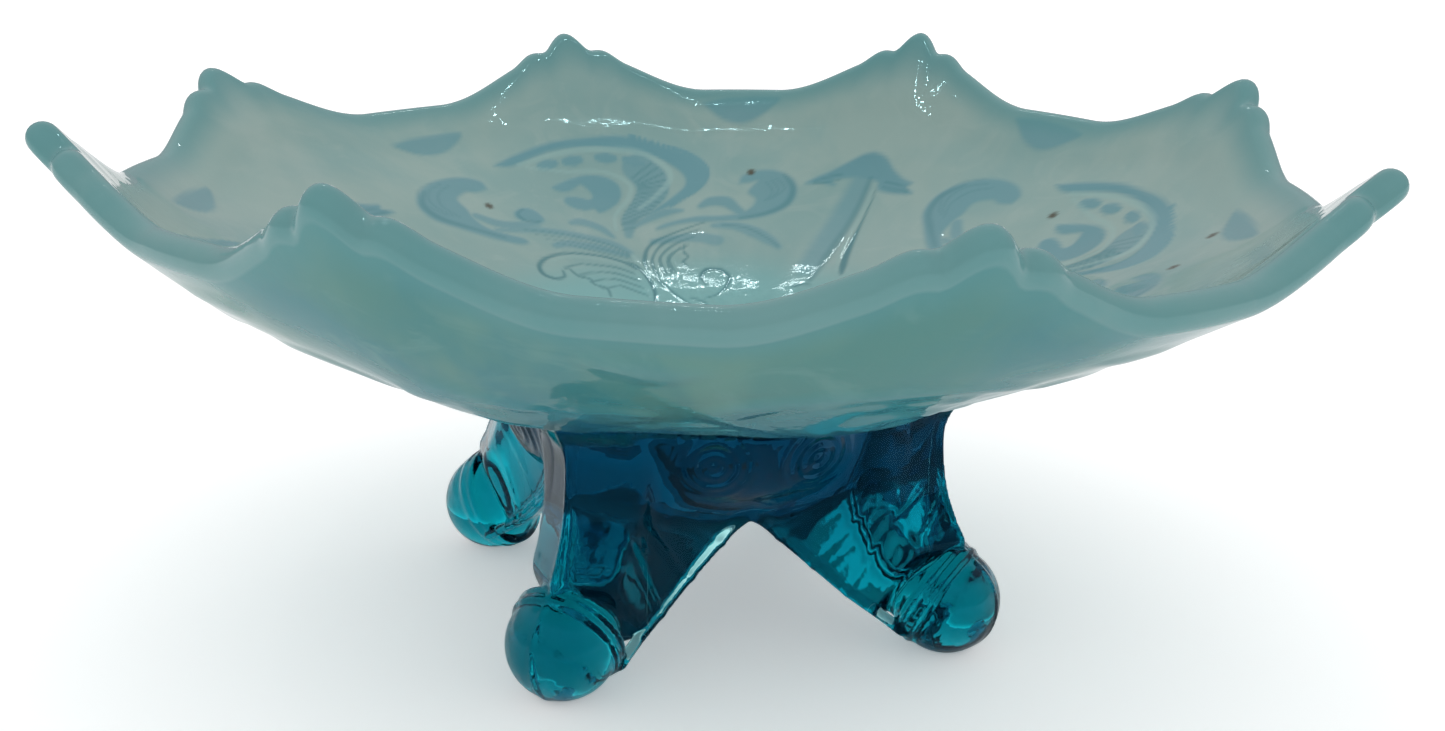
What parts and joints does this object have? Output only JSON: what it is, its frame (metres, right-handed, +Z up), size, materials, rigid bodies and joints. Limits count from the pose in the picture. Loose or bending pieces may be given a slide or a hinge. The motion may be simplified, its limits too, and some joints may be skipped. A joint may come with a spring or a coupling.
{
  "type": "footed glass fruit bowl",
  "caption": "Shallow flared pressed-glass fruit bowl with a pointed scalloped rim, on ball-toed feet joined by webs under a domed base.",
  "frame": {"origin": "on the table surface under the centre of the bowl", "axes": "+Z up; a point of the rim lies on each of +X, +Y, -X and -Y, and the feet stand within 2 degrees of the diagonals; -Y is the front"},
  "size_m": [0.2624, 0.2624, 0.1116],
  "materials": {
    "opal_glass": "glossy milky blue opalescent glass, milky at the rim and wall and clearer at the centre",
    "clear_glass": "glossy clear blue-green glass, dark where it is thick"
  },
  "bodies": {
    "root": {"bowl": "opal_glass", "base": "clear_glass", "foot_front_left": "clear_glass", "foot_front_right": "clear_glass", "foot_back_left": "clear_glass", "foot_back_right": "clear_glass"}
  },
  "joints": []
}
